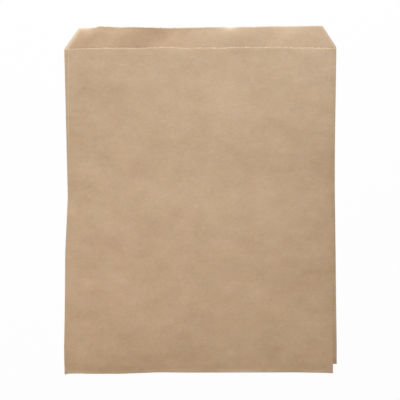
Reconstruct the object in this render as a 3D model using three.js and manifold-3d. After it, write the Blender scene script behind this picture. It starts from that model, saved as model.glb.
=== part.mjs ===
// Flat kraft paper bag, lying on its back.
// One sheet is folded into a flat tube with a narrow inward pleat along each side, and its two
// edges are lapped and glued inside the left pleat. The back stands above the mouth as a lip with
// clipped corners, and the front turns under at the foot as a glued flap.
// Millimetres, +Z up, +Y towards the mouth.

import * as THREE from 'three';
import { mergeVertices } from 'three/addons/utils/BufferGeometryUtils.js';
import Module from 'manifold-3d';

// Paper and how the plies lie on each other
const PAPER = 0.12; // thickness of one ply
const GLUE = 0.08; // thickness of a glue line between two plies
const PLY_AIR = 0.18; // air left over the lapped seam, under the ply above it
const SWELL = 2.2; // how far the middle of the front stands above its folded edges
const SWELL_POWER = 4; // how late the front drops towards its sides
const FOOT_RAMP = 65; // length over which the front rises above the flap
const MOUTH_RAMP = 90; // length over which the front sinks towards the mouth
const MOUTH_SHARE = 0.4; // part of the swell that is left at the mouth

// Panels
const PANEL_WIDTH = 300.8; // nominal fold to fold
const FRONT_HEIGHT = 365.6; // foot fold to mouth
const PLEAT_DEPTH = 22; // how far each side pleat reaches in
const SEAM_LAP = 10; // overlap of the sheet's two edges, in the left pleat
const SEAM_INSET = 4; // from the pleat's inner crease to the lap
const SEAM_GLUE_MARGIN = 2; // bare paper on both sides of the seam's glue

// Lip above the mouth
const LIP_HEIGHT = 23.4; // at its middle
const LIP_RISE = 2.0; // how much higher its right corner is than its left one
const CLIP_RUN = 15.8; // clipped corner, across
const CLIP_DROP = 23.5; // clipped corner, down

// Foot
const FLAP_LENGTH = 25; // flap turned under the back
const BACK_CLEAR = 10.4; // cut end of the back and pleats, above the foot fold
const FLAP_GLUE_MARGIN = 2; // bare paper around the glue on the flap
const FLAP_RAMP = 16; // length over which the plies climb onto the flap

// Saw-toothed knife cut at the mouth and along the lip
const TOOTH_PITCH = 3.2;
const TOOTH_DEPTH = 1.0;

// How far each long edge lies outside its nominal fold line, at heights above the foot fold:
// the front leans over to the left at its foot, and the back leans the other way.
const EDGE_HEIGHTS = [0, 30, 135, 195, 280, 361];
const FRONT_LEFT = [2.1, 2.6, 1.3, -1.5, -1.8, -2.0];
const FRONT_RIGHT = [-1.75, -1.45, -0.4, 0.2, 0.7, 1.8];
const BACK_LEFT = [-2.2, -2.2, -2.0, -1.6, 0.5, 2.1];
const BACK_RIGHT = [2.6, 2.6, 1.2, 0.4, 0.2, 1.7];

// Fineness of the mesh
const HEIGHT_STEPS = 26;
const FRONT_STEPS = 20;
const FOLD_STEPS = 4;
const FOOT_FOLD_STEPS = 8;
const CUT_MARGIN = 20; // how far a cut reaches past the paper
const WELD = 0.02; // how deep the turned flap is set into the front ply's faces
const SAME_CORNER = 1e-4; // corners closer than this are one corner

// Heights of the plies, at the middle of the paper
const HALF_WIDTH = PANEL_WIDTH / 2;
const LAP_PITCH = PAPER + GLUE;
const PLY_PITCH = LAP_PITCH + PAPER + PLY_AIR;
const FOLD_RADIUS = PLY_PITCH / 2;
const FOLD_LINE = HALF_WIDTH - FOLD_RADIUS;
const PLEAT_LINE = HALF_WIDTH - PLEAT_DEPTH;
const BACK_Z = PAPER / 2;
const LOWER_PLEAT_Z = BACK_Z + PLY_PITCH;
const UPPER_PLEAT_Z = LOWER_PLEAT_Z + PLY_PITCH;
const FRONT_Z = UPPER_PLEAT_Z + PLY_PITCH;
const LIP_TOP = FRONT_HEIGHT + LIP_HEIGHT;

// The front ends where the foot fold begins to turn under it
const FOOT_FRONT_Z = FRONT_Z + LAP_PITCH;
const FOOT_RADIUS = (FOOT_FRONT_Z - BACK_Z) / 2;
const FRONT_END = FOOT_RADIUS + PAPER / 2;

const wasm = await Module();
wasm.setup();

// A closed solid from a geometry whose corners are shared
function solidOf(geometry) {
  const bare = geometry.index ? geometry.toNonIndexed() : geometry.clone();
  bare.deleteAttribute('normal');
  bare.deleteAttribute('uv');
  const merged = mergeVertices(bare, SAME_CORNER);
  const vertProperties = new Float32Array(merged.attributes.position.array);
  const triVerts = new Uint32Array(merged.index.array);
  return new wasm.Manifold(new wasm.Mesh({ numProp: 3, vertProperties, triVerts }));
}

// An upright prism over an outline in X and Y
function prism(outline, low, high) {
  const shape = new THREE.Shape(outline);
  const geometry = new THREE.ExtrudeGeometry(shape, { depth: high - low, bevelEnabled: false });
  return solidOf(geometry.translate(0, 0, low));
}

function box(west, east, south, north, low, high) {
  const geometry = new THREE.BoxGeometry(east - west, north - south, high - low);
  return solidOf(geometry.translate((west + east) / 2, (south + north) / 2, (low + high) / 2));
}

// The outline of a strip of paper that follows a line of points
function ribbon(line, thickness) {
  const oneSide = [];
  const otherSide = [];
  line.forEach((point, i) => {
    const before = line[Math.max(i - 1, 0)];
    const after = line[Math.min(i + 1, line.length - 1)];
    const into = point.clone().sub(before).normalize();
    const out = after.clone().sub(point).normalize();
    const along = into.add(out).normalize();
    const across = new THREE.Vector2(-along.y, along.x).multiplyScalar(thickness / 2);
    oneSide.push(point.clone().add(across));
    otherSide.unshift(point.clone().sub(across));
  });
  return new THREE.Shape([...oneSide, ...otherSide]);
}

// Points of a half-turn fold about a centre, from one angle to another
function fold(x, y, radius, from, to, steps) {
  const path = new THREE.EllipseCurve(x, y, radius, radius, from, to, to < from);
  return path.getPoints(steps);
}

// The sheet's section across the bag, from one glued edge round to the other
function sheetLine() {
  const up = Math.PI / 2;
  const lapEnd = -PLEAT_LINE - SEAM_INSET;
  const lapRadius = (PLY_PITCH - LAP_PITCH) / 2;
  const pleatCentre = PLEAT_LINE + FOLD_RADIUS;
  const line = [new THREE.Vector2(lapEnd - SEAM_LAP, LOWER_PLEAT_Z + LAP_PITCH)];
  line.push(...fold(-PLEAT_LINE - lapRadius, UPPER_PLEAT_Z - lapRadius, lapRadius, -up, up, FOLD_STEPS));
  line.push(...fold(-FOLD_LINE, FRONT_Z - FOLD_RADIUS, FOLD_RADIUS, -up, -3 * up, FOLD_STEPS));
  for (let i = 1; i < FRONT_STEPS; i++) {
    line.push(new THREE.Vector2(THREE.MathUtils.lerp(-FOLD_LINE, FOLD_LINE, i / FRONT_STEPS), FRONT_Z));
  }
  line.push(...fold(FOLD_LINE, FRONT_Z - FOLD_RADIUS, FOLD_RADIUS, up, -up, FOLD_STEPS));
  line.push(...fold(pleatCentre, UPPER_PLEAT_Z - FOLD_RADIUS, FOLD_RADIUS, up, 3 * up, FOLD_STEPS));
  line.push(...fold(FOLD_LINE, LOWER_PLEAT_Z - FOLD_RADIUS, FOLD_RADIUS, up, -up, FOLD_STEPS));
  line.push(...fold(-FOLD_LINE, LOWER_PLEAT_Z - FOLD_RADIUS, FOLD_RADIUS, -up, -3 * up, FOLD_STEPS));
  line.push(new THREE.Vector2(lapEnd, LOWER_PLEAT_Z));
  return line;
}

function edgeCurve(offsets) {
  const curve = new THREE.CubicInterpolant(EDGE_HEIGHTS, offsets, 1);
  return (height) => curve.evaluate(height)[0];
}

const frontLeft = edgeCurve(FRONT_LEFT);
const frontRight = edgeCurve(FRONT_RIGHT);
const backLeft = edgeCurve(BACK_LEFT);
const backRight = edgeCurve(BACK_RIGHT);

// Sideways shift of a point: full at the long edges, none from the pleat's inner crease inwards
function lean(x, y, z) {
  const share = THREE.MathUtils.clamp((Math.abs(x) - PLEAT_LINE) / PLEAT_DEPTH, 0, 1);
  const inFront = z > (LOWER_PLEAT_Z + UPPER_PLEAT_Z) / 2;
  if (x < 0) return -share * (inFront ? frontLeft(y) : backLeft(y));
  return share * (inFront ? frontRight(y) : backRight(y));
}

// Height that the front gains between its folded edges
function swell(x, y) {
  const across = 1 - Math.min(Math.abs(x) / HALF_WIDTH, 1) ** SWELL_POWER;
  const fromFoot = THREE.MathUtils.smoothstep(y, FLAP_LENGTH, FLAP_LENGTH + FOOT_RAMP);
  const toMouth = THREE.MathUtils.smoothstep(y, FRONT_HEIGHT - MOUTH_RAMP, FRONT_HEIGHT);
  return SWELL * across * fromFoot * THREE.MathUtils.lerp(1, MOUTH_SHARE, toMouth);
}

// Height that every ply gains where it lies on the turned-under flap
function flapRise(y) {
  return LAP_PITCH * (1 - THREE.MathUtils.smoothstep(y, FLAP_LENGTH, FLAP_LENGTH + FLAP_RAMP));
}

// The folded tube, as long as the longest ply
function tube() {
  const length = LIP_TOP + LIP_RISE - FRONT_END;
  const options = { depth: length, steps: HEIGHT_STEPS, bevelEnabled: false };
  const geometry = new THREE.ExtrudeGeometry(ribbon(sheetLine(), PAPER), options);
  geometry.rotateX(Math.PI / 2).translate(0, FRONT_END + length, 0);
  const position = geometry.attributes.position;
  for (let i = 0; i < position.count; i++) {
    const x = position.getX(i);
    const y = position.getY(i);
    const z = position.getZ(i);
    const onFront = z > (UPPER_PLEAT_Z + FRONT_Z) / 2;
    const height = z + flapRise(y) + (onFront ? swell(x, y) : 0);
    position.setXYZ(i, x + lean(x, y, z), y, height);
  }
  return solidOf(geometry);
}

// A saw-toothed line between two points, teeth pointing to the left of its direction
function sawLine(from, to) {
  const count = Math.round(from.distanceTo(to) / TOOTH_PITCH);
  const along = to.clone().sub(from).divideScalar(count);
  const tip = new THREE.Vector2(-along.y, along.x).setLength(TOOTH_DEPTH);
  const points = [];
  for (let i = 0; i < count; i++) {
    const root = along.clone().multiplyScalar(i).add(from);
    points.push(root, along.clone().multiplyScalar(0.5).add(root).add(tip));
  }
  points.push(to.clone());
  return points;
}

// Everything inside the lip's outline, and the whole bag below it
function lipKeeper(top) {
  const left = -HALF_WIDTH - backLeft(FRONT_HEIGHT);
  const right = HALF_WIDTH + backRight(FRONT_HEIGHT);
  const leftTop = new THREE.Vector2(left + CLIP_RUN, LIP_TOP - LIP_RISE / 2 - TOOTH_DEPTH);
  const rightTop = new THREE.Vector2(right - CLIP_RUN, LIP_TOP + LIP_RISE / 2 - TOOTH_DEPTH);
  const clip = new THREE.Vector2(CLIP_RUN, CLIP_DROP);
  const reach = 1 + CUT_MARGIN / CLIP_RUN;
  const leftBase = leftTop.clone().addScaledVector(clip, -reach);
  const rightBase = new THREE.Vector2(rightTop.x + reach * clip.x, rightTop.y - reach * clip.y);
  const outline = [new THREE.Vector2(leftBase.x, -CUT_MARGIN), new THREE.Vector2(rightBase.x, -CUT_MARGIN)];
  outline.push(rightBase, ...sawLine(leftTop, rightTop).reverse(), leftBase);
  return prism(outline, -CUT_MARGIN, top);
}

// The front and pleats are cut off above the mouth, clear of the back
function mouthCut(top) {
  const reach = HALF_WIDTH + CUT_MARGIN;
  const root = FRONT_HEIGHT - TOOTH_DEPTH;
  const outline = sawLine(new THREE.Vector2(-reach, root), new THREE.Vector2(reach, root));
  const crown = LIP_TOP + LIP_RISE + CUT_MARGIN;
  outline.push(new THREE.Vector2(reach, crown), new THREE.Vector2(-reach, crown));
  const backTop = BACK_Z + PAPER / 2;
  const pleatUnderside = LOWER_PLEAT_Z - PAPER / 2;
  return prism(outline, (backTop + pleatUnderside) / 2, top);
}

// Long sides of the single ply at the foot, at the front's two fold lines
const footWest = -FOLD_LINE - frontLeft(BACK_CLEAR);
const footEast = FOLD_LINE + frontRight(BACK_CLEAR);

// The back and pleats end above the foot fold, and only the front runs on
function footCuts(top) {
  const reach = HALF_WIDTH + CUT_MARGIN;
  const below = FOOT_FRONT_Z - PLY_PITCH / 2;
  return [
    box(-reach, reach, -CUT_MARGIN, BACK_CLEAR, -CUT_MARGIN, below),
    box(-reach, footWest, -CUT_MARGIN, BACK_CLEAR, -CUT_MARGIN, top),
    box(footEast, reach, -CUT_MARGIN, BACK_CLEAR, -CUT_MARGIN, top),
  ];
}

// The front's foot turned under as a flap
function flap() {
  const overlap = BACK_CLEAR - FRONT_END;
  const turn = fold(FRONT_END, BACK_Z + FOOT_RADIUS, FOOT_RADIUS, Math.PI / 2, 1.5 * Math.PI, FOOT_FOLD_STEPS);
  const start = new THREE.Vector2(FRONT_END + overlap / 2, FOOT_FRONT_Z);
  const end = new THREE.Vector2(FLAP_LENGTH, BACK_Z);
  const section = ribbon([start, ...turn, end], PAPER - 2 * WELD);
  const width = footEast - footWest - 2 * WELD;
  const geometry = new THREE.ExtrudeGeometry(section, { depth: width, bevelEnabled: false });
  geometry.rotateX(Math.PI / 2).rotateZ(Math.PI / 2);
  return solidOf(geometry.translate(footWest + WELD, 0, 0));
}

// Glue that closes the lap seam and holds the flap to the back
function glueLines() {
  const lapEnd = -PLEAT_LINE - SEAM_INSET;
  const seamWest = lapEnd - SEAM_LAP + SEAM_GLUE_MARGIN;
  const seamEast = lapEnd - SEAM_GLUE_MARGIN;
  const seamSouth = FLAP_LENGTH + FLAP_RAMP;
  const seamNorth = FRONT_HEIGHT - TOOTH_DEPTH - SEAM_GLUE_MARGIN;
  const flapWest = footWest + PLEAT_DEPTH;
  const flapEast = footEast - PLEAT_DEPTH;
  const glueSouth = BACK_CLEAR + FLAP_GLUE_MARGIN;
  const glueNorth = FLAP_LENGTH - FLAP_GLUE_MARGIN;
  return [
    box(seamWest, seamEast, seamSouth, seamNorth, LOWER_PLEAT_Z, LOWER_PLEAT_Z + LAP_PITCH),
    box(flapWest, flapEast, glueSouth, glueNorth, BACK_Z, BACK_Z + LAP_PITCH),
  ];
}

function paperBag() {
  const top = FRONT_Z + LAP_PITCH + SWELL + CUT_MARGIN;
  let solid = tube().intersect(lipKeeper(top)).subtract(mouthCut(top));
  footCuts(top).forEach((cut) => {
    solid = solid.subtract(cut);
  });
  solid = solid.add(flap());
  glueLines().forEach((glue) => {
    solid = solid.add(glue);
  });
  const mesh = solid.getMesh();
  const geometry = new THREE.BufferGeometry();
  geometry.setAttribute('position', new THREE.BufferAttribute(mesh.vertProperties, 3));
  geometry.setIndex(new THREE.BufferAttribute(mesh.triVerts, 1));
  geometry.computeBoundingBox();
  const middle = geometry.boundingBox.getCenter(new THREE.Vector3());
  geometry.translate(-middle.x, -middle.y, -geometry.boundingBox.min.z);
  geometry.computeVertexNormals();
  return geometry;
}

const kraft = new THREE.MeshStandardMaterial({ color: 0xbea385, roughness: 0.9, metalness: 0 });
const bag = new THREE.Mesh(paperBag(), kraft);
bag.name = 'paper_bag';

const group = new THREE.Group();
group.add(bag);

export default group;
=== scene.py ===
# %% [markdown]
# # A flat kraft paper bag
# This lesson dresses one folded sheet of brown kraft paper. The real bag is a flat tube with a
# narrow pleat along each side. Its back stands above the mouth as a lip with clipped corners, and
# its front turns under at the foot. We load the measured model first, because every piece that we
# add has to sit exactly where that model is.

# %% Load the measured model
import math
import bmesh
import bpy
import numpy as np
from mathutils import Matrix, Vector, noise


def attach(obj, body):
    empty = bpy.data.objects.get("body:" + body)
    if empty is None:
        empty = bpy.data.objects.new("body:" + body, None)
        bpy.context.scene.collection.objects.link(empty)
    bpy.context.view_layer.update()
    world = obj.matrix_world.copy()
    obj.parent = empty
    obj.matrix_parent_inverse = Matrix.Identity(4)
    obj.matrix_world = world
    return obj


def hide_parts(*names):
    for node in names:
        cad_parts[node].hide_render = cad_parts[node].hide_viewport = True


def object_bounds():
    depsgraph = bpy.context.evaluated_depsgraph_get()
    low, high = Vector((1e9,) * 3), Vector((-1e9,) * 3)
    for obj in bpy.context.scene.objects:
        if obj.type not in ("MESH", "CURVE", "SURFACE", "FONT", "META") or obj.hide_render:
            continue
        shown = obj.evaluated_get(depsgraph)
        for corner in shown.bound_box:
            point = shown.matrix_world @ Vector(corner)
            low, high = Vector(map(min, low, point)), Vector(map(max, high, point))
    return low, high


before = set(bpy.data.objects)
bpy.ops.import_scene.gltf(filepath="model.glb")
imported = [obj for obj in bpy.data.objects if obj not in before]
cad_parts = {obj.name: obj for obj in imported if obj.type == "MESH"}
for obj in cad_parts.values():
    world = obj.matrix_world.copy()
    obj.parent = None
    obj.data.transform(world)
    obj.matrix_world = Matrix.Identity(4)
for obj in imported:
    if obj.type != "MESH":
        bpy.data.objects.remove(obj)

cad_low, cad_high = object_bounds()
print("measured box in mm:", [round(1000 * side, 1) for side in cad_high - cad_low])

# %% [markdown]
# ## Sizes
# All sizes are in millimetres and heights are counted from the foot fold, as a bag maker would
# write them. The finished mesh is scaled to metres once, at the end. The four long edges wander,
# so each has its own list of offsets outside the nominal fold line, at the same heights.

# %% Sizes of the folded sheet
MM = 0.001
PAPER = 0.12
LAP_PITCH = 0.20
PLY_PITCH = 0.50
HALF_WIDTH = 150.4
FRONT_HEIGHT = 365.6
PLEAT_DEPTH = 22.0
SEAM_LAP = 10.0
SEAM_INSET = 4.0
FLAP_LENGTH = 25.0
FLAP_RAMP = 16.0
BACK_CLEAR = 10.4
TOOTH_DEPTH = 1.0

BACK_Z = PAPER / 2
LOWER_PLEAT_Z = BACK_Z + PLY_PITCH
UPPER_PLEAT_Z = LOWER_PLEAT_Z + PLY_PITCH
FRONT_Z = UPPER_PLEAT_Z + PLY_PITCH
FOLD_LINE = HALF_WIDTH - PLY_PITCH / 2
PLEAT_LINE = HALF_WIDTH - PLEAT_DEPTH
MOUTH_ROOT = FRONT_HEIGHT - TOOTH_DEPTH
LIP_ROOT = 388.0
FOOT_ROW = 0.6

EDGE_HEIGHTS = [0, 30, 55, 82, 135, 195, 240, 280, 361]
FRONT_LEFT = [2.1, 2.6, 2.1, 1.7, 1.3, -1.5, -1.65, -1.8, -2.0]
FRONT_RIGHT = [-1.75, -1.45, -1.2, -0.9, -0.4, 0.2, 0.25, 0.7, 1.95]
BACK_LEFT = [-2.2, -2.2, -2.1, -2.1, -2.0, -1.6, -0.5, 0.5, 2.35]
BACK_RIGHT = [2.4, 2.4, 2.15, 1.7, 1.2, 0.4, 0.1, 0.2, 1.9]
print("front panel:", 2 * HALF_WIDTH, "x", FRONT_HEIGHT, "mm")

# %% [markdown]
# ## The sheet's section
# Seen from its end, the bag is one line of paper that goes round: pleat, front, pleat, back and
# into the first pleat again, where its two ends are lapped and glued. It could be drawn as a list
# of points, but walking a single vertex is closer to how the sheet is folded. One operator,
# `extrude_vert_indiv`, lays a straight run, and a half-turn `spin` makes each fold.

# %% Helpers that walk one vertex
COLUMN = 3.2
EDGE_STRIP = 0.8
TURN_STEPS = 6


def columns(start, end, strip_at_start=True, strip_at_end=True):
    """Places of the columns between two folds, with a narrow strip beside each fold."""
    way = math.copysign(1, end - start)
    first = start + way * EDGE_STRIP * strip_at_start
    last = end - way * EDGE_STRIP * strip_at_end
    count = max(1, round(abs(last - first) / COLUMN))
    stops = [first] if strip_at_start else []
    stops += [first + (last - first) * i / count for i in range(1, count + 1)]
    return stops + ([end] if strip_at_end else [])


def walk(bm, vert, stops):
    for x in stops:
        vert = bmesh.ops.extrude_vert_indiv(bm, verts=[vert])["verts"][0]
        vert.co.x = x
    return vert


def fold_over(bm, vert, rise, bulge):
    """Fold the paper over to a ply that lies `rise` higher; it bulges to the left at -1, right at 1."""
    centre = vert.co + Vector((0, 0, rise / 2))
    angle = -bulge * math.copysign(math.pi, rise)
    made = bmesh.ops.spin(bm, geom=[vert], cent=centre, axis=(0, 1, 0), angle=angle, steps=TURN_STEPS)
    return next(e for e in made["geom_last"] if isinstance(e, bmesh.types.BMVert))


print("columns across the front:", len(columns(-FOLD_LINE, FOLD_LINE)))

# %% [markdown]
# The walk starts inside the left pleat, at the end that is lapped. It turns up into the front,
# crosses to the right pleat, comes back beneath as the back and ends in the left pleat again, under
# its own start. Every fold takes it to the next ply.

# %% Walk round the section
def sheet_section(bm):
    lap_edge = -PLEAT_LINE - SEAM_INSET
    lap_rise = PLY_PITCH - LAP_PITCH
    left_crease = -PLEAT_LINE - lap_rise / 2
    right_crease = PLEAT_LINE + PLY_PITCH / 2
    vert = bm.verts.new((lap_edge - SEAM_LAP, FOOT_ROW, LOWER_PLEAT_Z + LAP_PITCH))
    vert = walk(bm, vert, columns(vert.co.x, left_crease, strip_at_start=False))
    vert = fold_over(bm, vert, lap_rise, 1)
    vert = walk(bm, vert, columns(left_crease, -FOLD_LINE))
    vert = fold_over(bm, vert, PLY_PITCH, -1)
    vert = walk(bm, vert, columns(-FOLD_LINE, FOLD_LINE))
    vert = fold_over(bm, vert, -PLY_PITCH, 1)
    vert = walk(bm, vert, columns(FOLD_LINE, right_crease))
    vert = fold_over(bm, vert, -PLY_PITCH, -1)
    vert = walk(bm, vert, columns(right_crease, FOLD_LINE))
    vert = fold_over(bm, vert, -PLY_PITCH, 1)
    vert = walk(bm, vert, columns(FOLD_LINE, -FOLD_LINE))
    vert = fold_over(bm, vert, PLY_PITCH, -1)
    walk(bm, vert, columns(-FOLD_LINE, lap_edge, strip_at_end=False))


bag = bmesh.new()
sheet_section(bag)
sheet_width = sum(edge.calc_length() for edge in bag.edges)
print("section:", len(bag.verts), "points; the sheet is", round(sheet_width, 1), "mm wide")

# %% [markdown]
# ## The tube
# Extruding the whole line up the bag, row after row, gives the flat tube. A bag machine folds its
# paper round a former in the same way and cuts the tube to length afterwards. The rows here fall on
# the heights where the paper is cut.

# %% Extrude the section
ROW = 4.0
LIP_ROW = 1.6
FOOT_PITCH = 2.0


def rows(low, high, pitch):
    count = max(1, round((high - low) / pitch))
    return [low + (high - low) * i / count for i in range(1, count + 1)]


def extrude_rows(bm, line, start, heights):
    """Extrude a line of edges to each height in turn."""
    for height in heights:
        grown = bmesh.ops.extrude_edge_only(bm, edges=line)["geom"]
        fresh = [e for e in grown if isinstance(e, bmesh.types.BMVert)]
        line = [e for e in grown if isinstance(e, bmesh.types.BMEdge)]
        bmesh.ops.translate(bm, verts=fresh, vec=(0, height - start, 0))
        start = height


heights = rows(FOOT_ROW, BACK_CLEAR, FOOT_PITCH)
heights += rows(BACK_CLEAR, MOUTH_ROOT - EDGE_STRIP, ROW)
heights += [MOUTH_ROOT]
heights += rows(MOUTH_ROOT, LIP_ROOT - EDGE_STRIP, LIP_ROW)
heights += [LIP_ROOT]
extrude_rows(bag, list(bag.edges), FOOT_ROW, heights)
print("tube:", len(bag.faces), "faces in", len(heights), "rows")

# %% [markdown]
# Cutting is then only a matter of deleting faces: the front and the pleats above the mouth, and
# the back and the pleats below their cut end at the foot. The edges along that cut end are marked
# sharp, because smooth shading would run round the cut and draw a dark line beside it.

# %% Cut the plies
SAME_HEIGHT = 0.01


def lies_at(edge, height):
    return all(abs(v.co.y - height) < SAME_HEIGHT for v in edge.verts)


spare = []
for face in bag.faces:
    middle = face.calc_center_median()
    above_mouth = middle.y > MOUTH_ROOT and middle.z > BACK_Z + PLY_PITCH / 2
    below_cut = middle.y < BACK_CLEAR and middle.z < FRONT_Z - PAPER / 4
    if above_mouth or below_cut:
        spare.append(face)
bmesh.ops.delete(bag, geom=spare, context="FACES")
for edge in bag.edges:
    edge.smooth = not (edge.is_boundary and lies_at(edge, BACK_CLEAR))
print("cut away:", len(spare), "faces at the mouth and the foot")

# %% [markdown]
# ## Saw teeth
# Bags are parted by a toothed knife, which leaves a fine zigzag at the mouth and along the lip.
# Each edge along the cut is halved with `subdivide_edges`, and the new middle points become the
# tips. No two teeth tear alike, so a little noise moves each tip. `noise_vector` draws on a seed,
# which is set here, so that every run tears them the same way. The short edges round the folds stay
# as they are.

# %% Cut the teeth
RAGGED = 0.60
RAGGED_SCALE = 0.37
PLY_SHIFT = 5
TEETH_SEED = 7

noise.seed_set(TEETH_SEED)


def saw_teeth(bm, height):
    cut = [e for e in bm.edges if e.is_boundary and lies_at(e, height)]
    along = [e for e in cut if e.calc_length() > COLUMN / 2]
    made = bmesh.ops.subdivide_edges(bm, edges=along, cuts=1)["geom_inner"]
    tips = [v for v in made if isinstance(v, bmesh.types.BMVert)]
    for tip in tips:
        spot = Vector((tip.co.x, height, PLY_SHIFT * tip.co.z))
        tear = noise.noise_vector(spot * RAGGED_SCALE)
        tip.co += Vector((RAGGED * tear.x, TOOTH_DEPTH + RAGGED * tear.y, 0))
    return tips


mouth_tips = saw_teeth(bag, MOUTH_ROOT)
lip_tips = saw_teeth(bag, LIP_ROOT)
print("teeth:", len(mouth_tips), "at the mouth,", len(lip_tips), "on the lip")

# %% [markdown]
# ## How the paper lies
# A bag that has been handled never lies quite flat. Each function below gives one gentle
# movement, and they are added up for every point. The first ones are broad: the wander of the
# long edges, the air under the front and the pressed side folds.

# %% Broad movements
SWELL = 2.2
FOOT_RISE = 58.0
MOUTH_RAMP = 90.0
MOUTH_SHARE = 0.60
PRESS_LEFT = 0.45
PRESS_RIGHT = 0.40
PRESS_REACH = 8.0


def smooth(value, low, high):
    share = min(max((value - low) / (high - low), 0), 1)
    return share * share * (3 - 2 * share)


def lean(x, y, z):
    share = min(max((abs(x) - PLEAT_LINE) / PLEAT_DEPTH, 0), 1)
    in_front = z > (LOWER_PLEAT_Z + UPPER_PLEAT_Z) / 2
    left, right = (FRONT_LEFT, FRONT_RIGHT) if in_front else (BACK_LEFT, BACK_RIGHT)
    offset = np.interp(y, EDGE_HEIGHTS, left if x < 0 else right)
    return math.copysign(share, x) * offset


def swell(x, y):
    across = 1 - min(abs(x) / HALF_WIDTH, 1) ** 4
    toward_mouth = smooth(y, FRONT_HEIGHT - MOUTH_RAMP, FRONT_HEIGHT)
    return SWELL * across * smooth(y, FOOT_ROW, FOOT_RISE) * (1 - (1 - MOUTH_SHARE) * toward_mouth)


def press(x):
    """Share of its height that a ply keeps beside a side fold, which is pressed flat."""
    most = PRESS_LEFT if x < 0 else PRESS_RIGHT
    return 1 - most * (1 - smooth(HALF_WIDTH - abs(x), 0, PRESS_REACH))


at_mouth = swell(0, FRONT_HEIGHT)
print("air under the front:", SWELL, "mm at its middle,", round(at_mouth, 2), "at its mouth")

# %% [markdown]
# The next ones are smaller: the soft fold across the middle, where the bag was once doubled over,
# the cockle of the sheet itself, and the droop of the cut mouth. The cockle comes from plain noise,
# which needs no seed.

# %% Small movements of the front
CROSS_FOLD = 0.40
CROSS_FOLD_HEIGHT = 219.0
CROSS_FOLD_REACH = 19.0
CROSS_FOLD_SLOPE = 0.03
CROSS_FOLD_DIP = 12.0
CROSS_FOLD_DIP_SPAN = (105, 150)
CROSS_FOLD_INSET = 4.0
MOUTH_DROOP = 0.20
COCKLE = 0.08
COCKLE_SIZE = 26.0
COCKLE_INSET = 12.0
COCKLE_START = 40.0
FINER = 2.3
FINER_SHARE = 0.5
FINER_SHIFT = Vector((7, 3, 1))


def cross_fold(x, y):
    dip = CROSS_FOLD_DIP * smooth(-x, *CROSS_FOLD_DIP_SPAN)
    middle = CROSS_FOLD_HEIGHT + CROSS_FOLD_SLOPE * x - dip
    return -CROSS_FOLD * math.exp(-((y - middle) / CROSS_FOLD_REACH) ** 2)


def bends(x, y, table):
    """Sum of soft bends, each with its middle, its reach along and across, its turn and its height."""
    total = 0
    for middle_x, middle_y, along, across, turn, rise in table:
        right, up = x - middle_x, y - middle_y
        u = right * math.cos(math.radians(turn)) + up * math.sin(math.radians(turn))
        v = up * math.cos(math.radians(turn)) - right * math.sin(math.radians(turn))
        total += rise * math.exp(-(u / along) ** 2 - (v / across) ** 2)
    return total


def cockle(x, y):
    """Noise in a slanting space, as paper cockles askew to its edges, with a finer one on top."""
    point = Vector((0.8 * x + 0.35 * y, 1.2 * y - 0.25 * x, 0)) / COCKLE_SIZE
    return COCKLE * (noise.noise(point) + FINER_SHARE * noise.noise(FINER * point + FINER_SHIFT))


def front_lift(x, y):
    from_fold = HALF_WIDTH - abs(x)
    lift = swell(x, y) + smooth(from_fold, 0, CROSS_FOLD_INSET) * cross_fold(x, y)
    lift += smooth(from_fold, 0, COCKLE_INSET) * smooth(y, BACK_CLEAR, COCKLE_START) * cockle(x, y)
    return lift - MOUTH_DROOP * smooth(y, MOUTH_ROOT - 2 * EDGE_STRIP, FRONT_HEIGHT)


print("cross fold:", CROSS_FOLD_HEIGHT, "mm above the foot")

# %% [markdown]
# The lip is a single free ply, so it moves most. It carries slanting waves, each a soft bend of its
# own, and its left corner curls down to the table. Near the mouth the pleats, and the front beside
# them, ride on the lifted back.

# %% Waves of the lip
LIP_EASE = 1.4
LIP_INSET = 30.0
LIP_REACH = 60.0
PLEAT_RIDE = 25.0
CURL = 0.95
CURL_START = 374.0
CURL_SPAN = (110, 126)
LIP_BENDS = [
    (-67, 387, 44, 12.6, 10, 2.93),
    (44, 389, 50, 8.5, 1, -0.94),
    (95, 393, 43, 14.0, 42, -1.01),
    (85, 364, 35, 13.5, -18, 0.76),
    (18, 389, 28, 8.2, 5, -0.66),
    (20, 368, 41, 12.6, 29, 0.65),
    (-60, 387, 38, 11.1, 29, 0.50),
    (-69, 361, 28, 11.6, 20, -1.34),
    (-108, 388, 40, 5.3, 31, 1.21),
]


def corner_curl(x, y):
    """Share of its height that the lip keeps where its left corner curls down to the table."""
    beyond = min(max((y - CURL_START) / (LIP_ROOT + TOOTH_DEPTH - CURL_START), 0), 1)
    return 1 - CURL * smooth(-x, *CURL_SPAN) * beyond * beyond


def lip_lift(x, y):
    inner = smooth(HALF_WIDTH - abs(x), 0, LIP_INSET)
    free = smooth(y, MOUTH_ROOT - LIP_REACH, MOUTH_ROOT)
    lift = inner * free * corner_curl(x, y) * (LIP_EASE + bends(x, y, LIP_BENDS))
    return max(lift, 0)


def pleat_lift(x, y):
    """The pleats, and the front beside them, ride on the lifted back."""
    return lip_lift(x, min(y, MOUTH_ROOT)) * smooth(abs(x), PLEAT_LINE - PLEAT_RIDE, PLEAT_LINE)


print("waves on the lip:", len(LIP_BENDS), "soft bends")

# %% [markdown]
# The cut lines aren't quite straight, because paper creeps under the knife. The lip's edge is
# listed as heights along the bag, and the lip is stretched to them. The mouth is listed as offsets
# from its nominal height, with finer ripples of noise on top.

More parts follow.
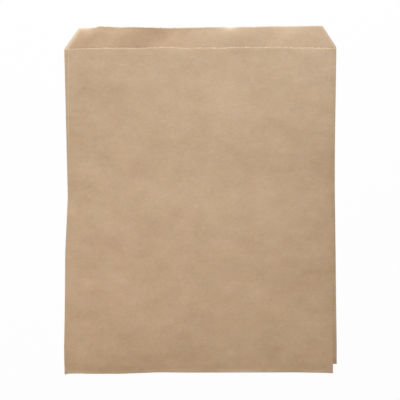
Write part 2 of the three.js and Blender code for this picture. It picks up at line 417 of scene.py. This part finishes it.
# %% Wander of the cut lines
LIP_ALONG = [-135, -129, -121, -117, -114, -100, -89, -78, -56, -34, -11, 11, 23, 28, 33, 38, 45,
             56, 78, 87, 95, 107, 134]
LIP_TIPS = [387.2, 387.6, 387.55, 387.85, 388.6, 388.25, 387.6, 387.8, 387.3, 387.05, 387.7, 388.2, 388.4,
            388.5, 387.85, 388.3, 388.65, 388.5, 389.25, 389.4, 389.35, 389.4, 389.8]
MOUTH_ALONG = [-145, -132, -125, -111, -71, -64, -51, -38, -30, -26, -11, 16, 32, 37, 57, 65, 83, 90, 110,
               124, 131, 144]
MOUTH_WANDER = [-1.65, -1.35, -1.0, -0.65, -0.75, -0.45, -0.15, 0.25, 0.25, -0.5, -0.5, -0.45, -0.5, 0.2,
                0.2, 0.0, 0.5, 0.0, -0.35, -0.3, -0.7, -0.6]
MOUTH_RIPPLES = [(0.45, 7.0, 2), (0.60, 2.9, 11)]


def mouth_wander(x):
    wander = np.interp(x, MOUTH_ALONG, MOUTH_WANDER)
    for most, size, row in MOUTH_RIPPLES:
        wander += most * noise.noise(Vector((x / size, row, 0)))
    return wander


def lip_stretch(x, y):
    reach = np.interp(x, LIP_ALONG, LIP_TIPS) - TOOTH_DEPTH - MOUTH_ROOT
    return MOUTH_ROOT + (y - MOUTH_ROOT) * reach / (LIP_ROOT - MOUTH_ROOT)


print("lip edge: from", min(LIP_TIPS), "to", max(LIP_TIPS), "mm above the foot")

# %% [markdown]
# ## Marks on the points
# The finish has to know where the paper has been handled and where light and shade are painted on
# it, so each point carries five marks, which follow the paper wherever it goes. The first is `worn`:
# a cut edge or a fold that is rubbed until its fibres fray. The mouth is worn all along, in some
# places more than in others, and so is the upper part of the back's left fold.

# %% Worn edges
MOUTH_WEAR = [0.30, 0.55, 0.60, 0.48, 0.45, 0.36, 0.48, 0.55, 0.50, 0.60, 0.65, 0.98, 0.75, 0.72,
              0.75, 0.78, 0.65, 0.50, 0.55, 0.48, 0.40, 0.46]
BACK_WEAR = 0.7
BACK_WEAR_SPAN = (170, 250)

worn = bag.verts.layers.float.new("worn")


def wear_of_front(x, y):
    along = np.interp(x, MOUTH_ALONG, MOUTH_WEAR)
    return along * smooth(y, MOUTH_ROOT - EDGE_STRIP, MOUTH_ROOT)


def beside_left_fold(x):
    return 1 - smooth(FOLD_LINE + x, 0, EDGE_STRIP)


def wear_of_back(x, y):
    return BACK_WEAR * beside_left_fold(x) * smooth(y, *BACK_WEAR_SPAN)


print("wear along the mouth: from", min(MOUTH_WEAR), "to", max(MOUTH_WEAR))

# %% [markdown]
# The second mark is softer: it makes the paper pale. Paper that has been bent or pressed bleaches
# without fraying: at the lip's left corner, in places along the lip's edge, and along the foot. Along
# the upper part of the front's left fold the same mark is a painted highlight on the fold's crest.

# %% Paled edges and a painted highlight
LEFT_FOLD_HIGHLIGHT = 0.62
LEFT_FOLD_HIGHLIGHT_SPAN = (205, 300)
CORNER_PALE = 1.5
CORNER_PALE_REACH = 3.2
CORNER_PALE_SPAN = (117, 127)
LIP_PALE = [
    (33, 389, 9, 4.2, 0, 1.12),
    (102, 389, 18, 3.0, 0, 0.3),
]
FOOT_PALE = [
    (46, 22, 0.60),
    (134, 12, 0.35),
    (-138, 16, 0.25),
]
FOOT_PALE_EVEN = 0.08
FOOT_PALE_REACH = 3.0

pale_and_highlight = bag.verts.layers.float.new("pale_and_highlight")


# A painted highlight along the crest of the front's left fold.
def highlight_of_fold(x, y):
    return LEFT_FOLD_HIGHLIGHT * beside_left_fold(x) * smooth(y, *LEFT_FOLD_HIGHLIGHT_SPAN)


def pale_of_lip(x, y):
    from_edge = LIP_ROOT + TOOTH_DEPTH - y
    corner = CORNER_PALE * smooth(-x, *CORNER_PALE_SPAN) * math.exp(-from_edge / CORNER_PALE_REACH)
    return max(corner, bends(x, y, LIP_PALE))


def pale_of_foot(x, y):
    along = sum(most * math.exp(-((x - middle) / reach) ** 2) for middle, reach, most in FOOT_PALE)
    return (FOOT_PALE_EVEN + along) * (1 - smooth(y, FOOT_ROW, FOOT_ROW + FOOT_PALE_REACH))


print("pale places:", len(LIP_PALE), "on the lip and", len(FOOT_PALE), "along the foot")

# %% [markdown]
# The third mark is painted shade, on a lower ply that peeks out from under the front beside its
# right fold. Such a strip lies in the front's shade, and that shade is painted on as shares of a
# darker brown, listed by height.

# %% Painted shade on tucked plies
TUCK_SHADE_HEIGHTS = [14, 17, 24, 32, 45, 60]
TUCK_SHADE_SHARES = [0.60, 0.22, 0.22, 0.34, 0.19, 0.10]
TUCK_END = 12.0

tuck_shade = bag.verts.layers.float.new("tuck_shade")


def shade_of_tuck(x, y):
    """Painted shade on the plies that show beside the front's right fold, darkest at the foot."""
    below_mouth = 1 - smooth(y, MOUTH_ROOT - TUCK_END, MOUTH_ROOT)
    beside_fold = smooth(x, PLEAT_LINE, FOLD_LINE) * below_mouth
    return beside_fold * np.interp(y, TUCK_SHADE_HEIGHTS, TUCK_SHADE_SHARES)


# The darker brown on the lower plies is painted shade.
print("dust on the lower plies: up to", max(TUCK_SHADE_SHARES))

# %% [markdown]
# The fourth mark is painted light and shade: broad patches a shade darker or lighter where the
# soft bends and creases of the paper lose or catch the light, the whole lip a little lighter, and a
# painted shade beside the front's right fold. The fifth, `warmed`, says where the lip has turned a
# warmer brown. The patches have the form of the lip's soft bends, only in brightness, so the same
# function adds them up.

# %% Painted light and shade
LIP_LIGHTENING = 0.040
LIP_LIGHT_AND_SHADE = [
    (100, 390, 54, 9.9, 60, 0.080),
    (-122, 380, 12, 6.0, 0, -0.110),
    (-58, 385, 14, 5.0, 0, -0.150),
    (2, 387, 19, 9.2, -47, 0.075),
    (139, 371, 6, 9.7, 16, 0.100),
    (41, 366, 14, 7.0, 0, -0.080),
    (-56, 375, 5, 11.1, 72, 0.085),
    (-98, 375, 6, 4.5, 85, 0.100),
    (-111, 389, 6, 2.2, 0, -0.340),
    (-80, 388, 44, 1.7, -1, -0.240),
    (-23, 386, 19, 3.5, 48, 0.110),
    (97, 389, 53, 5.6, 0, 0.100),
    (-88, 364, 43, 4.1, 1, -0.090),
    (-62, 388, 24, 2.3, 0, -0.260),
    (-93, 388, 6, 1.8, 0, 0.150),
    (6, 388, 12, 1.6, 0, -0.170),
]
FRONT_LIGHT_AND_SHADE = [
    (-114, 289, 63, 49, 45, -0.060),
    (-85, 8, 79, 15, 9, -0.090),
    (142, 182, 20, 60, 0, -0.085),
    (-10, 151, 30, 60, 9, 0.040),
    (48, 311, 100, 29, 0, 0.035),
    (112, 40, 72, 16, -15, 0.040),
    (101, 175, 84, 21, 29, 0.030),
    (113, 118, 45, 13, -16, -0.070),
    (137, 241, 22, 22, -35, -0.070),
    (116, 375, 69, 13, -45, 0.085),
    (-88, 9, 21, 15, 12, -0.080),
    (-9, 195, 50, 13, 10, 0.050),
    (-150, 95, 60, 13, 11, 0.050),
    (40, 360, 16, 8, 0, -0.090),
    (-133, 8, 8, 10, 0, 0.050),
    (-152, 15, 8, 26, 0, -0.100),
    (149, 228, 6, 42, 0, -0.085),
    (-146, 345, 8, 24, 0, 0.060),
    (-146, 214, 7, 7, 0, -0.060),
    (-146, 184, 7, 11, 0, 0.080),
]
RIGHT_SHADE = 0.05
RIGHT_SHADE_REACH = 6.0
LIP_WARMTH = 0.75
LIP_WARMTH_SPAN = (-60, 15)

light_and_shade = bag.verts.layers.float.new("light_and_shade")
warmed = bag.verts.layers.float.new("warmed")


def edge_shade(x):
    """Painted shade: the front is a shade darker beside its right fold, where it falls towards the fold.
    """
    return RIGHT_SHADE * (1 - smooth(HALF_WIDTH - x, 0, RIGHT_SHADE_REACH))


def warmth_of_lip(x):
    return LIP_WARMTH * (1 - smooth(x, *LIP_WARMTH_SPAN))


print("patches:", len(FRONT_LIGHT_AND_SHADE), "on the front and", len(LIP_LIGHT_AND_SHADE), "on the lip")

# %% [markdown]
# ## Settling
# Now every point is moved once and marked. Its height in the folded section says which ply it
# belongs to. The front and the pleats ride on the back, the back takes the lip's own movements, and
# near the foot all of it comes down to the height of the fold there.

# %% Settle every point
FOOT_TOP = 1.2
PLEAT_SHORT = 0.6
MOUTH_REACH = 30.0
GAP_PLACES = range(-125, 126, 5)
GAP_HEIGHTS = (310, 330, 345, 355, MOUTH_ROOT)


def settle(vert):
    x, y, z = vert.co
    lift = LAP_PITCH * (1 - smooth(y, FLAP_LENGTH, FLAP_LENGTH + FLAP_RAMP))
    near_mouth = smooth(y, MOUTH_ROOT - MOUTH_REACH, MOUTH_ROOT)
    new_y = y
    if z > (UPPER_PLEAT_Z + FRONT_Z) / 2:
        lift += front_lift(x, y) + pleat_lift(x, y)
        new_y += near_mouth * mouth_wander(x)
        vert[worn] = wear_of_front(x, y)
        vert[pale_and_highlight] = max(pale_of_foot(x, y), highlight_of_fold(x, y))
        vert[light_and_shade] = bends(x, y, FRONT_LIGHT_AND_SHADE) - edge_shade(x)
    elif z > BACK_Z + PLY_PITCH / 2:
        lift += pleat_lift(x, y)
        new_y += near_mouth * (mouth_wander(x) - PLEAT_SHORT)
        vert[tuck_shade] = shade_of_tuck(x, y)
    else:
        lift += lip_lift(x, y)
        vert[tuck_shade] = shade_of_tuck(x, y)
        vert[worn] = wear_of_back(x, y)
        if y > MOUTH_ROOT:
            new_y = lip_stretch(x, y)
            vert[worn] = 0
            vert[pale_and_highlight] = pale_of_lip(x, y)
            vert[light_and_shade] = LIP_LIGHTENING + bends(x, new_y, LIP_LIGHT_AND_SHADE)
            vert[warmed] = warmth_of_lip(x)
    new_z = BACK_Z + (z - BACK_Z) * press(x) + lift
    if y < BACK_CLEAR:
        new_z += (FOOT_TOP - new_z) * (1 - smooth(y, FOOT_ROW, BACK_CLEAR))
    vert.co = (x + lean(x, y, z), new_y, new_z)


def opening(x, y):
    """Air between the front and the back."""
    pressed = (FRONT_Z - BACK_Z) * press(x)
    return pressed + front_lift(x, y) + pleat_lift(x, y) - lip_lift(x, y) - PAPER


for vert in bag.verts:
    settle(vert)
gaps = [opening(x, y) for x in GAP_PLACES for y in GAP_HEIGHTS]
print("highest point:", round(max(v.co.z for v in bag.verts), 2), "mm, on the lip")
print("air at the mouth: from", round(min(gaps), 2), "to", round(max(gaps), 2), "mm")

# %% [markdown]
# ## Clipped corners
# The lip's two corners are clipped so that the bag opens easily. A plane through the bag does it:
# `bisect_plane` with `clear_outer` cuts the faces that it meets and throws the outer ones away.
# Three more cuts beside it throw nothing away. They add rows of points, so that the pale rim of the
# clipped edge can fade out over them.

# %% Clip the lip
CLIP_DROP = 23.5
CLIP_RUN_LEFT = 16.75
CLIP_RUN_RIGHT = 15.25
CLIP_FOOT_LEFT = 363.5
CLIP_FOOT_RIGHT = 365.65
CLIP_RIMS = (0.0, 1.6, 3.0, 6.0)
CLIP_PALES = (0.75, 1.15, 0.35, 0.0)
CLIP_PALE_LEFT = 1.0
CLIP_PALE_RIGHT = 0.3
CORNER_WIDTH = 40.0
CORNER_BELOW = 10.0
RIM_BELOW = 2.0


def slanting_cut(bm, side, foot, outward, clear):
    """Cut the faces near one corner along a slanting plane."""
    near = []
    for face in bm.faces:
        middle = face.calc_center_median()
        if middle.y > MOUTH_ROOT - CORNER_BELOW and side * middle.x > HALF_WIDTH - CORNER_WIDTH:
            near.append(face)
    edges = list(dict.fromkeys(e for f in near for e in f.edges))
    geom = near + edges + list(dict.fromkeys(v for f in near for v in f.verts))
    bmesh.ops.bisect_plane(bm, geom=geom, plane_co=foot, plane_no=outward, clear_outer=clear)


def clip_corner(bm, side, run, foot_height, pale):
    edge = np.interp(FRONT_HEIGHT, EDGE_HEIGHTS, BACK_LEFT if side < 0 else BACK_RIGHT)
    foot = Vector((side * (HALF_WIDTH + edge), foot_height, 0))
    outward = Vector((side * CLIP_DROP, run, 0)).normalized()
    for rim in CLIP_RIMS:
        slanting_cut(bm, side, foot - rim * outward, outward, rim == 0)
    above = [v for v in bm.verts if v.co.y > MOUTH_ROOT - RIM_BELOW]
    corner = [v for v in above if side * v.co.x > HALF_WIDTH - CORNER_WIDTH]
    lip = [v for v in corner if v.co.y > MOUTH_ROOT or v.co.z < LOWER_PLEAT_Z]
    for vert in lip:
        inside = (foot - vert.co).dot(outward)
        vert[pale_and_highlight] = max(vert[pale_and_highlight], pale * np.interp(inside, CLIP_RIMS, CLIP_PALES))
    return len(lip)


left_points = clip_corner(bag, -1, CLIP_RUN_LEFT, CLIP_FOOT_LEFT, CLIP_PALE_LEFT)
right_points = clip_corner(bag, 1, CLIP_RUN_RIGHT, CLIP_FOOT_RIGHT, CLIP_PALE_RIGHT)
print("clipped corners:", left_points, "points on the left and", right_points, "on the right")

# %% [markdown]
# ## The foot
# At the foot the front turns under and is glued to the back. A half-turn `spin` about a line
# across the bag makes the fold, and more extruded rows lay the flap flat beneath the back. The
# fold was pressed by hand or machine a little out of true, so its line wanders.

# %% Turn the foot under
FOOT_ALONG = [-152, -148, -143, -134, -130, -120, -88, -48, -14, 40, 107, 134, 141, 146, 149]
FOOT_DROP = [-1.9, -0.85, -0.85, -0.75, -1.0, -1.1, -1.05, 0.5, 0.25, 0.3, 0.5, 0.0, -0.15, -0.40,
             -0.45]
FOOT_REACH = 70.0
FOOT_STEPS = 8

foot_line = [e for e in bag.edges if e.is_boundary and lies_at(e, FOOT_ROW)]
foot_points = list(dict.fromkeys(v for e in foot_line for v in e.verts))
fold_middle = (0, FOOT_ROW, (FOOT_TOP + BACK_Z) / 2)
made = bmesh.ops.spin(bag, geom=foot_points + foot_line, cent=fold_middle, axis=(1, 0, 0),
                      angle=math.pi, steps=FOOT_STEPS)
line = [e for e in made["geom_last"] if isinstance(e, bmesh.types.BMEdge)]
extrude_rows(bag, line, FOOT_ROW, rows(FOOT_ROW, FLAP_LENGTH, ROW))
for vert in bag.verts:
    near_foot = 1 - smooth(vert.co.y, FLAP_LENGTH, FOOT_REACH)
    vert.co.y += near_foot * np.interp(vert.co.x, FOOT_ALONG, FOOT_DROP)
print("lowest point:", round(min(v.co.z for v in bag.verts) - PAPER / 2, 3), "mm")

# %% [markdown]
# ## One sheet with a thickness
# So far the paper is a surface. The mesh is moved to the measured model's place and scaled to
# metres, and a Solidify modifier gives it the thickness of common bag paper.

# %% Make the bag's object
WELD = 0.002

bmesh.ops.remove_doubles(bag, verts=bag.verts, dist=WELD)
bmesh.ops.recalc_face_normals(bag, faces=bag.faces)
bmesh.ops.translate(bag, verts=bag.verts, vec=(0, cad_low.y / MM, 0))
bmesh.ops.scale(bag, verts=bag.verts, vec=(MM, MM, MM))
for face in bag.faces:
    face.smooth = True
mesh = bpy.data.meshes.new("kraft_bag")
bag.to_mesh(mesh)
bag.free()
kraft_bag = bpy.data.objects.new("kraft_bag", mesh)
bpy.context.scene.collection.objects.link(kraft_bag)
wall = kraft_bag.modifiers.new("paper_thickness", "SOLIDIFY")
wall.thickness = PAPER * MM
wall.offset = 0
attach(kraft_bag, "root")
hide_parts("paper_bag")
print("bag mesh:", len(mesh.polygons), "faces")

# %% [markdown]
# ## Kraft paper
# Kraft paper is made of long unbleached fibres, so its brown is never even: it clouds softly where
# the fibres lie thicker, with a fine grain over that and a few dark specks of bark. All of it can
# be made from noise on Object coordinates, which stay on the paper whatever the camera does.

# %% Node helpers
def tone(red, green, blue):
    """A colour written as it should look, turned into the linear values that the shader needs."""
    linear = []
    for part in (red / 255, green / 255, blue / 255):
        linear.append(part / 12.92 if part <= 0.04045 else ((part + 0.055) / 1.055) ** 2.4)
    return (*linear, 1)


def feed(tree, socket, value):
    """Link an output to a socket, or set a plain value on it."""
    if isinstance(value, bpy.types.NodeSocket):
        tree.links.new(value, socket)
    else:
        socket.default_value = value


def node(tree, kind, **sockets):
    """Add a node and feed the sockets that are named."""
    made = tree.nodes.new(kind)
    for name, value in sockets.items():
        feed(tree, made.inputs[name.replace("_", " ")], value)
    return made


def maths(tree, operation, *values):
    made = tree.nodes.new("ShaderNodeMath")
    made.operation = operation
    for socket, value in zip(made.inputs, values):
        feed(tree, socket, value)
    return made.outputs[0]


def mark(tree, name):
    made = tree.nodes.new("ShaderNodeAttribute")
    made.attribute_name = name
    return made.outputs["Fac"]


kraft = bpy.data.materials.new("kraft_paper")
kraft.use_nodes = True
tree = kraft.node_tree
shader = tree.nodes["Principled BSDF"]
place = node(tree, "ShaderNodeTexCoord").outputs["Object"]
print("kraft paper has", len(tree.nodes), "nodes to start with")

# %% [markdown]
# The clouds lie a little across the bag, so their space is turned and stretched by a Mapping
# node. One noise with many octaves of nearly equal strength gives clouds and spots at once, and
# adding its cube makes the few strong spots stand out, as clumps of fibre do. The mark of painted
# light and shade is added before a Color Ramp turns the sum into browns.

# %% Clouds and grain
CLOUD = 0.93
CLOUD_SCALE = 34.0
CLOUD_TURN = math.radians(-14)
CLOUD_STRETCH = (0.62, 1.0, 1.0)
CLUMPS = 4.5
GRAIN = 0.5
GRAIN_SCALE = 620.0
LIGHT_AND_SHADE_REACH = 1.8
DARK_KRAFT = tone(171, 143, 113)
LIGHT_KRAFT = tone(211, 185, 156)

stretched = node(tree, "ShaderNodeMapping", Vector=place)
stretched.inputs["Rotation"].default_value = (0, 0, CLOUD_TURN)
stretched.inputs["Scale"].default_value = CLOUD_STRETCH
clouds = node(tree, "ShaderNodeTexNoise", Vector=stretched.outputs[0], Scale=CLOUD_SCALE, Detail=4.0,
              Roughness=0.85)
grain = node(tree, "ShaderNodeTexNoise", Vector=place, Scale=GRAIN_SCALE, Detail=2.0, Roughness=0.7)
cloud = maths(tree, "SUBTRACT", clouds.outputs[0], 0.5)
cubed = maths(tree, "MULTIPLY", cloud, maths(tree, "MULTIPLY", cloud, cloud))
cloud = maths(tree, "MULTIPLY_ADD", cubed, CLUMPS, cloud)
cloud = maths(tree, "MULTIPLY_ADD", cloud, CLOUD, 0.5 - 0.5 * GRAIN)
mottle = maths(tree, "MULTIPLY_ADD", grain.outputs[0], GRAIN, cloud)
# Painted light and shade of the paper's bends and creases, added to the clouds.
mottle = maths(tree, "MULTIPLY_ADD", mark(tree, "light_and_shade"), LIGHT_AND_SHADE_REACH, mottle)

ramp = tree.nodes.new("ShaderNodeValToRGB")
tree.links.new(mottle, ramp.inputs[0])
ramp.color_ramp.elements[0].position = 0.0
ramp.color_ramp.elements[0].color = DARK_KRAFT
ramp.color_ramp.elements[1].position = 1.0
ramp.color_ramp.elements[1].color = LIGHT_KRAFT
print("clouds and grain:", CLOUD_SCALE, "and", GRAIN_SCALE, "to the metre")

# %% [markdown]
# Unbleached pulp isn't one colour either. One noise shifts the brown between a redder and a
# greener shade and another between a bluer and a yellower one, by so little that it is felt more
# than seen. Towards its foot the sheet gets a painted warmer tint, which stands in for the warmer
# light there, and the lip turns warmer where the `warmed` mark says. All three are Mix nodes that
# multiply, so the clouds keep their strength.

# %% Hue of the pulp, and painted warm light at the foot
REDDER = (1.022, 0.990, 1.000, 1)
GREENER = (0.978, 1.010, 1.000, 1)
BLUER = (1.000, 1.000, 1.050, 1)
YELLOWER = (1.000, 1.000, 0.950, 1)
WARMER = (1.045, 0.992, 0.942, 1)
RED_SCALE = 80.0
BLUE_SCALE = 93.0
WARM_FROM = 0.17
WARM_TO = -0.19


def mix_colour(tree, share, under, over, blend="MIX"):
    made = tree.nodes.new("ShaderNodeMix")
    made.data_type = "RGBA"
    made.blend_type = blend
    for index, value in ((0, share), (6, under), (7, over)):
        feed(tree, made.inputs[index], value)
    return made.outputs[2]


def shade(tree, place, scale, one, other):
    shades = node(tree, "ShaderNodeTexNoise", Vector=place, Scale=scale, Detail=3.0, Roughness=0.85)
    share = node(tree, "ShaderNodeMapRange", Value=shades.outputs[0], From_Min=0.3, From_Max=0.7)
    return mix_colour(tree, share.outputs[0], one, other)


# A painted warmer tint towards the foot stands in for the warmer light there.
up_the_bag = node(tree, "ShaderNodeSeparateXYZ", Vector=place).outputs["Y"]
painted_warmth_toward_foot = node(tree, "ShaderNodeMapRange", Value=up_the_bag, From_Min=WARM_FROM, From_Max=WARM_TO)
red_shift = shade(tree, place, RED_SCALE, REDDER, GREENER)
blue_shift = shade(tree, place, BLUE_SCALE, BLUER, YELLOWER)
pulp = mix_colour(tree, 1.0, ramp.outputs[0], red_shift, "MULTIPLY")
pulp = mix_colour(tree, 1.0, pulp, blue_shift, "MULTIPLY")
warmth = maths(tree, "MAXIMUM", painted_warmth_toward_foot.outputs[0], mark(tree, "warmed"))
pulp = mix_colour(tree, warmth, pulp, WARMER, "MULTIPLY")
# The blue lost at the foot is painted warm light.
print("pulp is up to", round(100 * (1 - WARMER[2]), 1), "% less blue at the foot")

# %% [markdown]
# The fibres run along the bag, as the paper ran through its machine: noise in a space that is
# squeezed across them. The specks are splinters of bark. A Voronoi texture scatters points, only
# some of its cells keep theirs, and a Map Range makes a soft dot round each.

# %% Fibres and specks
FIBRE_SPACE = (2100, 260, 2100)
FIBRE_TURN = math.radians(4)
PALE_FIBRE = tone(214, 188, 158)
SPECK_SCALE = 170.0
SPECK_SIZE = 0.10
SPECK_SHARE = 0.35
SPECK_STRENGTH = 0.55
BARK = tone(112, 84, 60)

along = node(tree, "ShaderNodeMapping", Vector=place)
along.inputs["Rotation"].default_value = (0, 0, FIBRE_TURN)
along.inputs["Scale"].default_value = FIBRE_SPACE
fibres = node(tree, "ShaderNodeTexNoise", Vector=along.outputs[0], Scale=1.0, Detail=2.0, Roughness=0.6)
strand = node(tree, "ShaderNodeMapRange", Value=fibres.outputs[0], From_Min=0.62, From_Max=0.80,
              To_Max=0.38)
pulp = mix_colour(tree, strand.outputs[0], pulp, PALE_FIBRE)

bark = node(tree, "ShaderNodeTexVoronoi", Vector=place, Scale=SPECK_SCALE)
dot = node(tree, "ShaderNodeMapRange", Value=bark.outputs["Distance"], From_Min=SPECK_SIZE,
           From_Max=SPECK_SIZE / 3)
kept = node(tree, "ShaderNodeSeparateColor", Color=bark.outputs["Color"]).outputs["Red"]
speck = maths(tree, "MULTIPLY", dot.outputs[0], maths(tree, "LESS_THAN", kept, SPECK_SHARE))
pulp = mix_colour(tree, maths(tree, "MULTIPLY", speck, SPECK_STRENGTH), pulp, BARK)
print("one speck for about", round((1000 / SPECK_SCALE) ** 2 / SPECK_SHARE), "square millimetres")

# %% [markdown]
# Where a fold or a cut edge has been rubbed, the fibres fray and look pale. The `worn` mark says
# where, and a noise breaks it up, because wear is never even. The softer pale mark is left whole, for
# corners and edges that have been bent until they bleach, and for the painted highlight along the
# front's left fold. A ply that is tucked under another one lies in its shade, which its mark paints
# on as a darker brown.

# %% Pale wear, a painted highlight and painted shade on tucked plies
PATCH_SCALE = 320.0
PATCH_GAIN = 7.0
PATCH_OFFSET = -3.0
# Pale colour for worn and bleached paper, and for the painted highlight on the left fold.
WORN_AND_HIGHLIGHT_KRAFT = tone(226, 202, 174)
SHADED_KRAFT = tone(150, 118, 88)

broken = node(tree, "ShaderNodeTexNoise", Vector=place, Scale=PATCH_SCALE, Detail=2.0, Roughness=0.7)
patchy = maths(tree, "MULTIPLY_ADD", broken.outputs[0], PATCH_GAIN, PATCH_OFFSET)
patchy.node.use_clamp = True
rubbed_and_highlight = maths(tree, "MULTIPLY", mark(tree, "worn"), patchy)
# The pale mark also carries the painted highlight along the front's left fold.
rubbed_and_highlight = maths(tree, "MAXIMUM", rubbed_and_highlight, mark(tree, "pale_and_highlight"))
# Painted shade on the plies tucked under the front.
shaded = mix_colour(tree, mark(tree, "tuck_shade"), pulp, SHADED_KRAFT)
paper_colour = mix_colour(tree, rubbed_and_highlight, shaded, WORN_AND_HIGHLIGHT_KRAFT)
tree.links.new(paper_colour, shader.inputs["Base Color"])
print("worn paper lightens to", [round(part, 2) for part in WORN_AND_HIGHLIGHT_KRAFT[:3]])

# %% [markdown]
# Kraft paper is matt on one side and a little glazed on the other. This is the matt side: rough,
# but not evenly so, with fibres that stand up by a few hundredths of a millimetre. A Bump node
# tilts the light for them without adding faces.

# %% Roughness and relief
FIBRE_RELIEF = 0.6
GRAIN_RELIEF = 0.4

grain_relief = maths(tree, "MULTIPLY", grain.outputs[0], GRAIN_RELIEF)
relief = maths(tree, "MULTIPLY_ADD", fibres.outputs[0], FIBRE_RELIEF, grain_relief)
bump = node(tree, "ShaderNodeBump", Height=relief, Strength=0.35, Distance=0.00004)
matt = node(tree, "ShaderNodeMapRange", Value=clouds.outputs[0], To_Min=0.76, To_Max=0.94)
tree.links.new(bump.outputs[0], shader.inputs["Normal"])
tree.links.new(matt.outputs[0], shader.inputs["Roughness"])
shader.inputs["Specular IOR Level"].default_value = 0.25
mesh.materials.append(kraft)
print("kraft paper has", len(tree.nodes), "nodes")

# %% [markdown]
# ## Floor
# The bag lies on a plain white table. For the camera most of the table's white comes from a plain
# emission, so that it stays white in the picture, and the rest is a diffuse white that still
# takes the bag's soft shadow.

# %% Floor
FLOOR_REACH = 2.5
FLOOR_GLOW = 0.95


def seen_directly(tree):
    """One for a ray from the camera, also by way of a shine or a clear thing, and else nought."""
    path = node(tree, "ShaderNodeLightPath")
    seen = maths(tree, "MAXIMUM", path.outputs["Is Camera Ray"], path.outputs["Is Glossy Ray"])
    return maths(tree, "MAXIMUM", seen, path.outputs["Is Transmission Ray"])


def mix_shader(tree, share, under, over):
    made = node(tree, "ShaderNodeMixShader", Fac=share)
    tree.links.new(under.outputs[0], made.inputs[1])
    tree.links.new(over.outputs[0], made.inputs[2])
    return made.outputs[0]


floor_mesh = bpy.data.meshes.new("floor")
ground = bmesh.new()
bmesh.ops.create_grid(ground, x_segments=1, y_segments=1, size=FLOOR_REACH)
ground.to_mesh(floor_mesh)
ground.free()
floor = bpy.data.objects.new("floor", floor_mesh)
bpy.context.scene.collection.objects.link(floor)

floor_look = bpy.data.materials.new("white_floor")
floor_look.use_nodes = True
tree = floor_look.node_tree
tree.nodes.clear()
share = maths(tree, "MULTIPLY", seen_directly(tree), FLOOR_GLOW)
table_white = node(tree, "ShaderNodeBsdfDiffuse", Color=(0.85, 0.85, 0.85, 1))
glow = node(tree, "ShaderNodeEmission")
node(tree, "ShaderNodeOutputMaterial", Surface=mix_shader(tree, share, table_white, glow))
floor_mesh.materials.append(floor_look)
print("floor glow for the camera:", FLOOR_GLOW)

# %% [markdown]
# ## Light
# The photograph is lit by a broad soft light beyond the mouth, a weaker one above the left side
# and a little light from everywhere. Together they add up to about one, so that a colour renders
# as it is written.

# %% World and lamps
WORLD = 0.24
KEY_POWER = 15.0
FILL_POWER = 2.0

world = bpy.data.worlds.new("studio")
bpy.context.scene.world = world
world.use_nodes = True
tree = world.node_tree
tree.nodes.clear()
around = node(tree, "ShaderNodeBackground", Color=(1.0, 0.93, 0.84, 1), Strength=WORLD)
backdrop = node(tree, "ShaderNodeBackground", Color=(1, 1, 1, 1), Strength=1.0)
both = mix_shader(tree, seen_directly(tree), around, backdrop)
node(tree, "ShaderNodeOutputWorld", Surface=both)


def soft_lamp(name, place, aim, size, power, colour):
    light = bpy.data.lights.new(name, "AREA")
    light.shape = "RECTANGLE"
    light.size, light.size_y = size
    light.energy = power
    light.color = colour
    lamp = bpy.data.objects.new(name, light)
    lamp.location = place
    lamp.rotation_euler = (Vector(aim) - Vector(place)).to_track_quat("-Z", "Y").to_euler()
    bpy.context.scene.collection.objects.link(lamp)


soft_lamp("key", (0.21, 1.10, 0.60), (0, 0, 0), (0.9, 0.6), KEY_POWER, (0.96, 1.0, 1.04))
soft_lamp("fill", (-0.27, -0.06, 0.60), (-0.05, 0, 0), (0.7, 0.7), FILL_POWER, (1, 1, 1))
print("lamps:", KEY_POWER, "W and", FILL_POWER, "W")

# %% [markdown]
# ## Camera
# The bag was photographed straight from above. One pixel of the picture is 1.12 mm on the bag, so
# the camera's distance follows from its lens, and its place from the pixel that is the middle.

# %% Camera
PIXEL = 1.1206
PHOTO_WIDTH = 400
BAG_PIXEL = 200.5
FOOT_PIXEL = 373.0
BAG_TOP = 2.5
LENS = 120.0
SENSOR = 36.0

camera = bpy.data.cameras.new("camera")
camera.lens = LENS
camera.sensor_width = SENSOR
eye = bpy.data.objects.new("camera", camera)
distance = PHOTO_WIDTH * PIXEL * MM * LENS / SENSOR
from_middle = (PHOTO_WIDTH / 2 - BAG_PIXEL) * PIXEL * MM
up_from_foot = (FOOT_PIXEL - PHOTO_WIDTH / 2) * PIXEL * MM
eye.location = (from_middle, cad_low.y + up_from_foot, distance + BAG_TOP * MM)
bpy.context.scene.collection.objects.link(eye)
bpy.context.scene.camera = eye
bpy.context.scene.view_settings.view_transform = "Standard"
print("camera is", round(distance, 3), "m above the bag")
